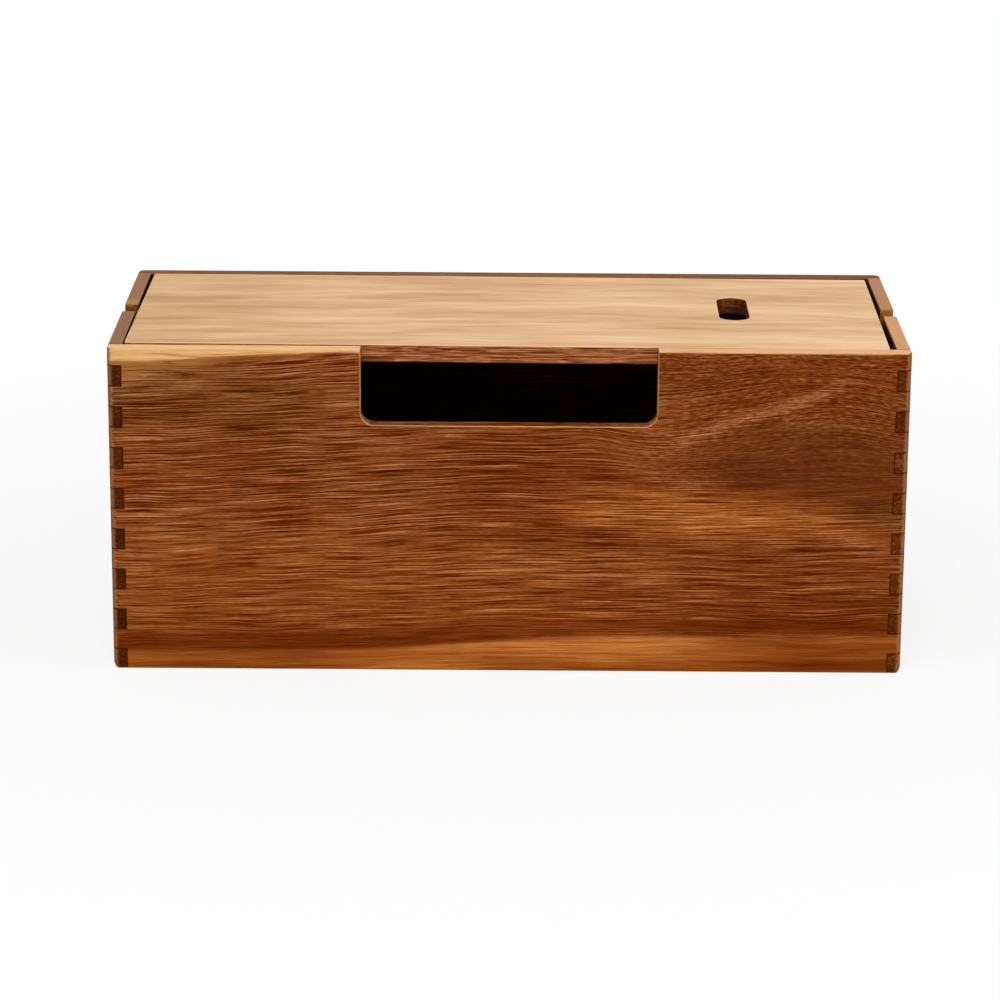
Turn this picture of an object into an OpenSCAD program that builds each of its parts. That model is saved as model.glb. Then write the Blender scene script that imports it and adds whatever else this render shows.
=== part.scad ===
// Cable management box in solid wood: four walls with finger-jointed corners, a floor board
// held in grooves, four corner blocks that carry a loose lid, and openings for the cables.
// Frame: X along the length, Y from front to back, Z up. Origin: centre of the footprint.

/* [Box] */
// Length over the end panels
box_l = 310; // [260:1:400]
// Depth over the front and rear panels
box_w = 135; // [120:1:180]
// Height of the walls
box_h = 130; // [110:1:160]
// Thickness of the front and rear panels
side_t = 6.5; // [5:0.5:9]
// Thickness of the two end panels
end_t = 5.5; // [5:0.5:8]
// Radius along the upright outer corners
corner_r = 3; // [1:0.5:5]
// Radius along the bottom edge of the end panels
foot_r = 3; // [1:0.5:5]
// Radius that eases the other outer edges
arris_r = 1; // [0.5:0.25:1.5]

/* [Finger joints] */
// Fingers of an end panel at each corner
finger_n = 8; // [5:1:10]
// Height of the front and rear panels' top finger; the others share the rest evenly
top_finger_h = 7; // [4:0.5:12]
// Glue line left between neighbouring fingers
glue_gap = 0.1; // [0.05:0.05:0.2]

/* [Front cut-out] */
// Width of the cut-out in the front panel
cutout_w = 114.4; // [60:0.1:160]
// Depth of the cut-out below the rim
cutout_d = 30; // [15:0.5:45]
// Radius of its lower corners
cutout_r = 5; // [2:0.5:12]

/* [Cable notches] */
// Width of the notch in each end panel
notch_w = 12; // [8:0.5:20]
// Depth of the notch below the rim
notch_d = 22; // [15:0.5:35]
// Radius where the notch meets the rim
notch_lip_r = 1; // [1:0.5:4]

/* [Lid] */
// Play of the lid along its opening
lid_play_l = 3; // [2.2:0.1:6]
// Play of the lid across its opening
lid_play_w = 3.5; // [1:0.1:3.5]
// Thickness of the lid
lid_t = 7; // [4:0.5:9]
// How far the loose lid lies turned, as a share of what its play allows
lid_skew = 0.8; // [0:0.05:0.9]
// How far the turned lid lies to the left, as a share of the room still left
lid_left = 0.45; // [0:0.05:0.9]
// Width of the slot in the lid
slot_w = 12; // [8:0.5:20]
// Length of the slot, end to end
slot_len = 39.4; // [24:0.1:60]
// Slot centre to the right of the lid's centre
slot_x = 90.4; // [-110:0.1:110]
// Slot centre behind the lid's centre
slot_y = 5.7; // [-20:0.1:20]

/* [Inside] */
// Thickness of the floor board
floor_t = 5; // [4:0.5:8]
// Height of the floor board's underside above the table
floor_z = 4; // [3:0.5:8]
// How far the floor board enters its grooves
tongue = 3; // [2:0.5:3]
// Side of the square corner blocks under the lid
block_s = 14; // [10:1:20]
// Height of the corner blocks
block_h = 20; // [12:1:30]
// Chamfer on the free corner of a block
block_chamfer = 4; // [2:0.5:6]

/* [Hidden] */
$fn = 64;
eps = 0.01;
over = 5;                                  // how far a cutter runs past a face
inner_l = box_l - 2 * end_t;
inner_w = box_w - 2 * side_t;
finger_h = (box_h - top_finger_h) / (2 * finger_n - 1);
pitch = 2 * finger_h;
lid_l = inner_l - lid_play_l;
lid_w = inner_w - lid_play_w;
lid_z = box_h - lid_t;
lid_turn = -lid_skew * asin(lid_play_w / lid_l);
lid_shift = lid_left * (lid_play_l / 2 + lid_w / 2 * sin(lid_turn));
groove_play = 0.1;                         // room above the tongue in its groove
groove_end = 4;                            // solid wood left at both ends of a groove
notch_r = notch_w / 2;
lid_corner_r = 1;
lid_arris_r = 0.4;
wood = "peru";
wood_dark = "saddlebrown";
wood_light = "burlywood";

// Rectangle centred on X whose lower corners have radius r_low and upper corners r_high.
module eased_rect(w, h, r_low, r_high) {
    x_low = w / 2 - r_low;
    x_high = w / 2 - r_high;
    union() {
        translate([-w / 2, r_low]) square([w, h - r_low - r_high]);
        translate([-x_low, 0]) square([2 * x_low, r_low + eps]);
        translate([-x_high, h - r_high - eps]) square([2 * x_high, r_high + eps]);
        for (side = [-1, 1]) {
            translate([side * x_low, r_low]) circle(r_low);
            translate([side * x_high, h - r_high]) circle(r_high);
        }
    }
}

// Block w x d x h on the table with its upright edges rounded by r_up, the lower edges of its
// ends by r_end, of its long sides by r_side, and all its upper edges by r_top.
module eased_block(w, d, h, r_up, r_end, r_side, r_top) {
    intersection() {
        translate([0, -d / 2, 0])
            linear_extrude(h) eased_rect(w, d, r_up, r_up);
        translate([0, d / 2, 0]) rotate([90, 0, 0])
            linear_extrude(d) eased_rect(w, h, r_end, r_top);
        translate([-w / 2, 0, 0]) rotate([90, 0, 90])
            linear_extrude(w) eased_rect(d, h, r_side, r_top);
    }
}

// The outside of the closed walls, which every wall is trimmed to.
module outer_form() {
    eased_block(box_l, box_w, box_h, corner_r, foot_r, arris_r, arris_r);
}

// Sockets in the front or rear panel for the end panels' fingers, at both its ends.
module finger_sockets() {
    for (side = [-1, 1], i = [0 : finger_n - 1]) {
        z_low = i == 0 ? -over : i * pitch - glue_gap / 2;
        z_high = i * pitch + finger_h + glue_gap / 2;
        translate([side * (inner_l / 2 + (end_t + over) / 2), 0, (z_low + z_high) / 2])
            cube([end_t + over, box_w + 2 * over, z_high - z_low], center = true);
    }
}

// Sockets in an end panel for the fingers of the front and rear panels.
module end_sockets() {
    for (side = [-1, 1], i = [0 : finger_n - 1]) {
        z_low = i * pitch + finger_h - glue_gap / 2;
        z_high = i == finger_n - 1 ? box_h + over : (i + 1) * pitch + glue_gap / 2;
        translate([0, side * (inner_w / 2 + (side_t + over) / 2), (z_low + z_high) / 2])
            cube([box_l + 2 * over, side_t + over, z_high - z_low], center = true);
    }
}

// Groove that takes the tongue of the floor board, all the way round.
module floor_groove() {
    height = floor_t + groove_play;
    translate([0, 0, floor_z + height / 2]) {
        cube([inner_l - 2 * groove_end, inner_w + 2 * tongue, height], center = true);
        cube([inner_l + 2 * tongue, inner_w - 2 * groove_end, height], center = true);
    }
}

// Outline of the cut-out in the front panel, drawn from the rim down.
module cutout_outline() {
    x_arc = cutout_w / 2 - cutout_r;
    union() {
        translate([-cutout_w / 2, cutout_r - cutout_d])
            square([cutout_w, cutout_d - cutout_r + over]);
        translate([-x_arc, -cutout_d]) square([2 * x_arc, cutout_r + eps]);
        for (side = [-1, 1]) translate([side * x_arc, cutout_r - cutout_d]) circle(cutout_r);
    }
}

// Outline of a cable notch: a round bottom, straight sides and rounded lips at the rim.
module notch_outline() {
    lip_x = notch_r + notch_lip_r;
    translate([0, notch_r - notch_d]) circle(notch_r);
    translate([-notch_r, notch_r - notch_d]) square([notch_w, notch_d - notch_r + over]);
    difference() {
        translate([-lip_x, -notch_lip_r]) square([2 * lip_x, notch_lip_r + over]);
        for (side = [-1, 1]) translate([side * lip_x, -notch_lip_r]) circle(notch_lip_r);
    }
}

// A wall across the box at the given side, -1 for the front and 1 for the rear, in one piece.
module side_wall(side) {
    y_mid = side * (box_w - side_t) / 2;
    difference() {
        intersection() {
            outer_form();
            translate([0, y_mid, box_h / 2]) cube([box_l + over, side_t, box_h + over], center = true);
        }
        finger_sockets();
        floor_groove();
    }
}

// An end wall at the given side, -1 for the left and 1 for the right, with its cable notch.
module end_wall(side) {
    x_mid = side * (box_l - end_t) / 2;
    difference() {
        intersection() {
            outer_form();
            translate([x_mid, 0, box_h / 2]) cube([end_t, box_w + over, box_h + over], center = true);
        }
        end_sockets();
        floor_groove();
        translate([x_mid - end_t, 0, box_h]) rotate([90, 0, 90])
            linear_extrude(2 * end_t) notch_outline();
    }
}

module front_panel() {
    color(wood) difference() {
        side_wall(-1);
        translate([0, (over - box_w) / 2 + side_t, box_h]) rotate([90, 0, 0])
            linear_extrude(side_t + over) cutout_outline();
    }
}

module rear_panel() {
    color(wood) side_wall(1);
}

module left_end_panel() {
    color(wood_dark) end_wall(-1);
}

module right_end_panel() {
    color(wood_dark) end_wall(1);
}

// Floor board: a plain board whose corners are cut away so that its four tongues stop short.
module floor_board() {
    color(wood) translate([0, 0, floor_z + floor_t / 2]) union() {
        cube([inner_l - 2 * groove_end, inner_w + 2 * tongue, floor_t], center = true);
        cube([inner_l + 2 * tongue, inner_w - 2 * groove_end, floor_t], center = true);
        cube([inner_l, inner_w, floor_t], center = true);
    }
}

// Lid: a flat board with eased edges and one slot that serves as a finger grip and cable outlet.
module lid() {
    color(wood_light) translate([-lid_shift, 0, lid_z]) rotate([0, 0, lid_turn]) difference() {
        eased_block(lid_l, lid_w, lid_t, lid_corner_r, lid_arris_r, lid_arris_r, lid_arris_r);
        translate([slot_x, slot_y, -over]) slot_cutter(lid_t + 2 * over);
    }
}

module slot_cutter(height) {
    straight = slot_len - slot_w;
    translate([-slot_w / 2, -straight / 2, 0]) cube([slot_w, straight, height]);
    for (end = [-1, 1]) translate([0, end * straight / 2, 0]) cylinder(h = height, d = slot_w);
}

// Corner block glued into a corner right under the lid; its free corner is chamfered.
module corner_block(side_x, side_y) {
    free = block_s - block_chamfer;
    outline = [[0, 0], [block_s, 0], [block_s, free], [free, block_s], [0, block_s]];
    color(wood_dark) translate([side_x * inner_l / 2, side_y * inner_w / 2, lid_z - block_h])
        rotate([0, 0, side_x == side_y ? (side_x > 0 ? 180 : 0) : (side_x > 0 ? 90 : -90)])
        linear_extrude(block_h) polygon(outline);
}

module corner_block_front_left() { corner_block(-1, -1); }
module corner_block_front_right() { corner_block(1, -1); }
module corner_block_rear_left() { corner_block(-1, 1); }
module corner_block_rear_right() { corner_block(1, 1); }

front_panel();
rear_panel();
left_end_panel();
right_end_panel();
floor_board();
lid();
corner_block_front_left();
corner_block_front_right();
corner_block_rear_left();
corner_block_rear_right();
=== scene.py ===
# %% [markdown]
# # A finger-jointed cable box in oiled acacia
#
# The box hides a power strip and its leads. Four thin boards are joined at the corners with
# square fingers, a floor board sits in a groove, and a loose lid drops between the walls onto
# four corner blocks. The construction is already made, so this lesson dresses it: every board
# gets its eased edges and its own wood. The first cell loads the construction and keeps its
# outer size.

import math

import bmesh
import bpy
from mathutils import Matrix, Vector


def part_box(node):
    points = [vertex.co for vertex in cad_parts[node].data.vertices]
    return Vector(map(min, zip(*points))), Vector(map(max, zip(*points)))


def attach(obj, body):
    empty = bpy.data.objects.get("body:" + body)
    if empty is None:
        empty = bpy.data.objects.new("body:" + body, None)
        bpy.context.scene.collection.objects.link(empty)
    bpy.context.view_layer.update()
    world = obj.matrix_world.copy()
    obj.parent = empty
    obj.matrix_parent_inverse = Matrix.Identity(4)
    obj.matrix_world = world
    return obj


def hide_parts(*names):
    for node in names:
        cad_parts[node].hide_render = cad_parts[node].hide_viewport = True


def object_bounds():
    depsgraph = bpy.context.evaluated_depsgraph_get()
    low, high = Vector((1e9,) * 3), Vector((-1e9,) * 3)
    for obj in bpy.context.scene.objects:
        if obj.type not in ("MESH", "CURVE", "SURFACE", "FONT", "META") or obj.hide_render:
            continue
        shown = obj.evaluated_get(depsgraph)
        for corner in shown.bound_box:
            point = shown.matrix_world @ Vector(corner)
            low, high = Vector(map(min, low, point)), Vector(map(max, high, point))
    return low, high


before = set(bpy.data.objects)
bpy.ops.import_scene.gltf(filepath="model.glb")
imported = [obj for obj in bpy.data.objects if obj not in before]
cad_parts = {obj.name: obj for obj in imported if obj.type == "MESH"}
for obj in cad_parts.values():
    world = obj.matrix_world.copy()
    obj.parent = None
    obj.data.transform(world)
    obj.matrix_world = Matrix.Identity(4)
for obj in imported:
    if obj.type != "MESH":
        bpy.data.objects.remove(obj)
frame_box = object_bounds()
print("boards in the frame:", ", ".join(sorted(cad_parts)))

# %% [markdown]
# ## Sizes
#
# All sizes here are in millimetres, as on a maker's drawing, and a mesh is turned into metres
# when it is finished. What can be read from the construction is read from it, so a thicker
# board there is a thicker board here. Only the openings, the rounds, the finger rhythm and the
# play of the lid are stated again.

# %% Sizes in millimetres
MM = 0.001


def board_box(name):
    """Lowest and highest corner of a board of the construction, in mm."""
    low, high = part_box(name)
    return low / MM, high / MM


box_low, box_high = (corner / MM for corner in frame_box)
BOX_L, BOX_W, BOX_H = box_high - box_low
front_low, front_high = board_box("front_panel")
left_low, left_high = board_box("left_end_panel")
floor_low, floor_high = board_box("floor_board")
lid_low, lid_high = board_box("lid")

SIDE_T = front_high.y - front_low.y
END_T = left_high.x - left_low.x
INNER_L = BOX_L - 2 * END_T
INNER_W = BOX_W - 2 * SIDE_T

CUTOUT_W = 114.4
CUTOUT_D = 30.0
CUTOUT_R = 5.0
NOTCH_W = 12.0
NOTCH_D = 22.0
SLOT_W = 12.0
SLOT_LEN = 39.4
SLOT_AT = (90.4, 5.7)
CORNER_R = 3.0
FOOT_R = 3.0
UNDER_R = 1.0
ARRIS = 0.7
ARC_STEP = math.radians(12)
SPARE = 5.0
print(f"box {BOX_L:.1f} x {BOX_W:.1f} x {BOX_H:.1f}, walls {SIDE_T:.1f} and {END_T:.1f}")

# %% [markdown]
# ## Writing node trees as sums
#
# Both the finger joints and the wood are worked out by nodes. Wiring Math nodes by hand hides
# the idea, so one small class wraps a socket and lets Python's own signs add the nodes. Every
# other node comes from one function that sets its options first and its inputs after them.

# %% Nodes from expressions
def socket_of(sockets, key):
    """The socket with that place in the list, identifier or name."""
    if isinstance(key, int):
        return sockets[key]
    return next(s for s in sockets if key in (s.identifier, s.name))


def node(tree, kind, settings=None, values=None):
    """A new node: its settings first, then the values or links of its inputs."""
    made = tree.nodes.new(kind)
    for name, value in (settings or {}).items():
        if name == "stops":
            fill_ramp(made.color_ramp, value)
        else:
            setattr(made, name, value)
    for key, value in (values or {}).items():
        target = socket_of(made.inputs, key)
        if isinstance(value, Flow):
            tree.links.new(value.socket, target)
        else:
            target.default_value = value
    return made


class Flow:
    """A value on its way through a node tree. Arithmetic on it adds Math nodes."""

    def __init__(self, tree, socket):
        self.tree = tree
        self.socket = socket

    def math(self, operation, *others, clamp=False):
        values = dict(enumerate((self, *others)))
        settings = {"operation": operation, "use_clamp": clamp}
        made = node(self.tree, "ShaderNodeMath", settings, values)
        return Flow(self.tree, made.outputs[0])

    def __add__(self, other):
        return self.math("ADD", other)

    def __sub__(self, other):
        return self.math("SUBTRACT", other)

    def __rsub__(self, other):
        return (self * -1.0).math("ADD", other)

    def __mul__(self, other):
        return self.math("MULTIPLY", other)

    def __truediv__(self, other):
        return self.math("DIVIDE", other)

    def __mod__(self, other):
        return self.math("FLOORED_MODULO", other)

    def __abs__(self):
        return self.math("ABSOLUTE")

    def __lt__(self, other):
        return self.math("LESS_THAN", other)

    def __gt__(self, other):
        return self.math("GREATER_THAN", other)

    __radd__ = __add__
    __rmul__ = __mul__

    def floor(self):
        return self.math("FLOOR")

    def clamp(self):
        return self.math("ADD", 0.0, clamp=True)

    def smooth(self, low, high):
        """0 below low, 1 above high and an S-curve between; high may be the lower one."""
        values = {"Value": self, "From Min": low, "From Max": high}
        made = node(self.tree, "ShaderNodeMapRange", {"interpolation_type": "SMOOTHSTEP"}, values)
        return Flow(self.tree, made.outputs[0])


def combine(tree, x, y, z):
    """Three values as one vector."""
    made = node(tree, "ShaderNodeCombineXYZ", None, {"X": x, "Y": y, "Z": z})
    return Flow(tree, made.outputs[0])


def separate(flow):
    """The three values of a vector."""
    made = node(flow.tree, "ShaderNodeSeparateXYZ", None, {0: flow})
    return [Flow(flow.tree, output) for output in made.outputs]


# %% [markdown]
# ## The finger walls
#
# Each wall is one board whose ends are cut into square fingers, 8.2 mm high, with the last one
# at the rim a little lower. The front and rear boards own every second step and the end boards
# own the steps between, so one rule draws all four. Geometry Nodes suit that: a ring of points
# is set out by its index, filled and given its thickness. The fingers stand proud on purpose,
# because a maker leaves them long and trims the box flush after gluing.

# %% Geometry Nodes: one wall with fingers at both ends
SECTIONS = 16
FINGER_H = 8.2
GLUE_GAP = 0.1
WELD = 0.001

WALL_INPUTS = (
    ("Length", "NodeSocketFloat"),
    ("Height", "NodeSocketFloat"),
    ("Thickness", "NodeSocketFloat"),
    ("Sections", "NodeSocketInt"),
    ("Finger Height", "NodeSocketFloat"),
    ("Finger Depth", "NodeSocketFloat"),
    ("Glue Gap", "NodeSocketFloat"),
    ("First Own Section", "NodeSocketInt"),
    ("Allowance", "NodeSocketFloat"),
    ("Place", "NodeSocketVector"),
    ("Turn", "NodeSocketVector"),
    ("Material", "NodeSocketMaterial"),
)


def finger_wall_tree():
    """The node group that draws a wall with fingers, in mm."""
    tree = bpy.data.node_groups.new("finger_wall", "GeometryNodeTree")
    for name, kind in WALL_INPUTS:
        tree.interface.new_socket(name=name, in_out="INPUT", socket_type=kind)
    tree.interface.new_socket(name="Wall", in_out="OUTPUT", socket_type="NodeSocketGeometry")
    given = node(tree, "NodeGroupInput")
    wall = {name: Flow(tree, socket_of(given.outputs, name)) for name, _ in WALL_INPUTS}

    sections = wall["Sections"]
    first_own = wall["First Own Section"]
    index = Flow(tree, node(tree, "GeometryNodeInputIndex").outputs[0])
    points = sections * 4.0
    step = index.math("MINIMUM", points - 1.0 - index)
    side = 1.0 - 2.0 * (index > points / 2.0 - 0.5)

    section = (step / 2.0).floor()
    own = 1.0 - abs(section % 2.0 - first_own)
    reach_out = wall["Allowance"] * own - wall["Finger Depth"] * (1.0 - own)
    x = side * (wall["Length"] / 2.0 + reach_out)

    level = ((step + 1.0) / 2.0).floor()
    at_bottom = level < 0.5
    at_top = level > sections - 0.5
    shrink = (1.0 - 2.0 * abs(level % 2.0 - first_own)) * wall["Glue Gap"] / 2.0
    z_between = (level * wall["Finger Height"] + shrink) * (1.0 - at_bottom) * (1.0 - at_top)
    z_ends = at_top * (wall["Height"] + wall["Allowance"]) - at_bottom * wall["Allowance"]
    z = z_between + z_ends

    ring = node(tree, "GeometryNodeMeshCircle", {"fill_type": "NONE"}, {"Vertices": points})
    placed = node(
        tree,
        "GeometryNodeSetPosition",
        None,
        {"Geometry": Flow(tree, ring.outputs[0]), "Position": combine(tree, x, z, 0.0)},
    )
    outline = node(tree, "GeometryNodeMeshToCurve", None, {0: Flow(tree, placed.outputs[0])})
    face = node(
        tree, "GeometryNodeFillCurve", {"mode": "NGONS"}, {0: Flow(tree, outline.outputs[0])}
    )
    face_flow = Flow(tree, face.outputs[0])
    raised = node(
        tree,
        "GeometryNodeExtrudeMesh",
        {"mode": "FACES"},
        {"Mesh": face_flow, "Offset Scale": wall["Thickness"]},
    )
    under = node(tree, "GeometryNodeFlipFaces", None, {0: face_flow})
    joined = node(tree, "GeometryNodeJoinGeometry")
    for half in (raised, under):
        tree.links.new(half.outputs[0], joined.inputs[0])
    closed = node(
        tree,
        "GeometryNodeMergeByDistance",
        None,
        {"Geometry": Flow(tree, joined.outputs[0]), "Distance": WELD},
    )
    stood = node(
        tree,
        "GeometryNodeTransform",
        None,
        {
            "Geometry": Flow(tree, closed.outputs[0]),
            "Translation": wall["Place"],
            "Rotation": wall["Turn"],
        },
    )
    real = node(tree, "GeometryNodeRealizeInstances", None, {0: Flow(tree, stood.outputs[0])})
    dressed = node(
        tree,
        "GeometryNodeSetMaterial",
        None,
        {"Geometry": Flow(tree, real.outputs[0]), "Material": wall["Material"]},
    )
    node(tree, "NodeGroupOutput", None, {0: Flow(tree, dressed.outputs[0])})
    return tree


finger_wall = finger_wall_tree()
print("finger_wall has", len(finger_wall.nodes), "nodes")

# %% [markdown]
# ## Bench tools
#
# The rest of the shaping is what a maker does after glue-up: trim flush, cut openings, ease
# every edge a hand can reach. Booleans do the cutting, because a router bit is one too, and a
# bevel on chosen edges does the easing. Each tool leaves a plain mesh behind.


# %% Meshes and cutters
def arc(centre, radius, start, end):
    """Points of an arc in degrees, both ends included."""
    span = math.radians(end - start)
    count = max(2, math.ceil(abs(span) / ARC_STEP))
    angles = [math.radians(start) + span * i / count for i in range(count + 1)]
    return [(centre[0] + radius * math.cos(a), centre[1] + radius * math.sin(a)) for a in angles]


def eased_rectangle(left, right, low, high, r_low, r_high=0.0):
    """A rectangle with its lower and upper corners rounded, anticlockwise."""
    corners = ((left, low, r_low, 180), (right, low, r_low, 270),
               (right, high, r_high, 0), (left, high, r_high, 90))
    points = []
    for x, y, radius, start in corners:
        if radius:
            centre = (x + radius * (1 if x == left else -1), y + radius * (1 if y == low else -1))
            points += arc(centre, radius, start, start + 90)
        else:
            points.append((x, y))
    return points


AXIS_ORDER = {"X": (2, 0, 1), "Y": (0, 2, 1), "Z": (0, 1, 2)}


def new_object(name, mesh):
    made = bpy.data.objects.new(name, mesh)
    bpy.context.scene.collection.objects.link(made)
    return made


def prism(name, axis, outline, low, high):
    """A solid of that outline between two heights along an axis, in mm."""
    order = AXIS_ORDER[axis]
    shape = bmesh.new()
    rings = []
    for height in (low, high):
        ring = []
        for a, b in outline:
            point = (a, b, height)
            ring.append(shape.verts.new([point[k] for k in order]))
        rings.append(ring)
    shape.faces.new(rings[0])
    shape.faces.new(rings[1])
    for i in range(len(outline)):
        j = (i + 1) % len(outline)
        shape.faces.new((rings[0][i], rings[0][j], rings[1][j], rings[1][i]))
    bmesh.ops.recalc_face_normals(shape, faces=shape.faces)
    mesh = bpy.data.meshes.new(name)
    shape.to_mesh(mesh)
    shape.free()
    return new_object(name, mesh)


def box_prism(name, low, high):
    outline = eased_rectangle(low[0], high[0], low[1], high[1], 0.0)
    return prism(name, "Z", outline, low[2], high[2])


def settle(piece):
    """Turns what the modifiers make into the piece's own plain mesh."""
    graph = bpy.context.evaluated_depsgraph_get()
    mesh = bpy.data.meshes.new_from_object(piece.evaluated_get(graph))
    piece.modifiers.clear()
    old = piece.data
    piece.data = mesh
    bpy.data.meshes.remove(old)


def carve(piece, tool, operation="DIFFERENCE", keep_tool=False):
    """Cuts the tool out of the piece, keeps only what lies inside it, or joins the two."""
    cut = piece.modifiers.new("carve", "BOOLEAN")
    cut.operation = operation
    cut.solver = "EXACT"
    cut.object = tool
    settle(piece)
    if not keep_tool:
        bpy.data.objects.remove(tool)


SAME_POINT = 0.002
FLAT = math.radians(0.5)


def clean(piece):
    """Merges doubled points and flat faces that a cut has split."""
    shape = bmesh.new()
    shape.from_mesh(piece.data)
    bmesh.ops.remove_doubles(shape, verts=shape.verts, dist=SAME_POINT)
    bmesh.ops.dissolve_limit(shape, angle_limit=FLAT, verts=shape.verts, edges=shape.edges)
    shape.to_mesh(piece.data)
    shape.free()


CRISP = math.radians(35)


def ease(piece, chosen, width=ARRIS, steps=3):
    """Rounds the sharp edges for which chosen(corner, corner) says yes."""
    shape = bmesh.new()
    shape.from_mesh(piece.data)
    edges = [
        e for e in shape.edges
        if e.is_manifold and e.calc_face_angle() > CRISP
        and chosen(*(v.co for v in e.verts))
    ]
    bmesh.ops.bevel(
        shape, geom=edges, offset=width, offset_type="OFFSET", segments=steps, profile=0.5,
        affect="EDGES", clamp_overlap=True,
    )
    shape.to_mesh(piece.data)
    shape.free()
    return len(edges)


CLOSE = 0.01


def near(value, *targets):
    return any(abs(value - t) < CLOSE for t in targets)


# %% [markdown]
# A finished board is handed over here: smooth shading that stays crisp at real corners, the
# material, the change to metres, and the body that carries it. The weighted normals keep big
# faces flat right up to their rounded edges, which is what makes an eased edge look planed.


def hand_over(piece, board, material, body="box"):
    """Finishes a board's mesh and lets it stand for its node of the construction."""
    piece.name = f"oiled_{board}"
    piece.data.name = piece.name
    piece.data.transform(Matrix.Scale(MM, 4))
    piece.data.materials.clear()
    piece.data.materials.append(material)
    for polygon in piece.data.polygons:
        polygon.material_index = 0
    piece.data.shade_smooth()
    piece.data.set_sharp_from_angle(angle=CRISP)
    level = piece.modifiers.new("flat faces", "WEIGHTED_NORMAL")
    level.keep_sharp = True
    settle(piece)
    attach(piece, body)
    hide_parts(board)
    print(f"{piece.name}: {len(piece.data.polygons)} faces")


# %% [markdown]
# ## The wood
#
# Acacia has a red-brown heart with short dark pores, wavy bands and a pale sapwood rim. A
# picture wrapped round a board would break at its ends, so the wood is a solid pattern in the
# board's own millimetres: stretched noise along the grain, fine across it. Where a finger is
# cut across, the same pattern shows as dots, as end grain does. One class holds what every
# board shares: its grain directions, its tone ramps and its finish.

# %% Colours as they look
def tone(red, green, blue):
    """A colour given as it shows on a screen, 0 to 255, as the linear one nodes use."""
    linear = [
        c / 12.92 if c <= 0.04045 else ((c + 0.055) / 1.055) ** 2.4
        for c in (red / 255, green / 255, blue / 255)
    ]
    return (*linear, 1.0)


def fill_ramp(ramp, stops):
    """Sets a colour ramp's stops, given as (place, colour)."""
    while len(ramp.elements) < len(stops):
        ramp.elements.new(0.5)
    for element, (place, colour) in zip(ramp.elements, stops):
        element.position = place
        element.color = colour


HEART = ((0.0, tone(78, 22, 0)), (0.28, tone(105, 41, 1)), (0.5, tone(128, 64, 22)),
         (0.72, tone(154, 89, 46)), (1.0, tone(190, 125, 80)))
UMBER = ((0.0, tone(62, 22, 2)), (0.28, tone(88, 42, 8)), (0.5, tone(113, 64, 22)),
         (0.72, tone(138, 88, 42)), (1.0, tone(176, 124, 78)))
AMBER = ((0.0, tone(92, 33, 1)), (0.3, tone(124, 56, 12)), (0.5, tone(144, 72, 22)),
         (0.7, tone(168, 92, 34)), (1.0, tone(210, 134, 66)))
SAP = ((0.0, tone(160, 102, 46)), (0.25, tone(196, 141, 82)), (0.5, tone(222, 170, 110)),
       (0.75, tone(232, 182, 123)), (1.0, tone(244, 198, 142)))
# The lid's pale top: painted light and sheen from above.
PALE_LIT_TOP = ((0.0, tone(180, 130, 75)), (0.28, tone(203, 154, 101)), (0.5, tone(218, 172, 122)),
        (0.72, tone(232, 188, 141)), (1.0, tone(247, 205, 160)))
END_GRAIN = ((0.0, tone(38, 10, 0)), (0.3, tone(66, 25, 1)), (0.55, tone(92, 40, 5)),
             (0.75, tone(116, 62, 18)), (1.0, tone(158, 104, 50)))

PORE_TONE = tone(66, 20, 0)
# Pale tone of worn edges, which also stands in for a painted highlight on their rounds.
WORN_AND_LIT_TONE = tone(212, 154, 104)
GLUE_TONE = tone(34, 12, 2)
INSIDE_SHADE_TONE = tone(26, 7, 1)

# %% [markdown]
# The class works in the board's own directions: u runs along the grain, v across it over the
# board's face, and w into the board. What is drawn at a fixed height uses the plain v. The
# grain itself follows a v that wanders, so no line stays straight over the whole board.

# %% The wood of one board
GLUE_FADE = (0.42, 0.12)
SLACK = 0.2


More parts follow.
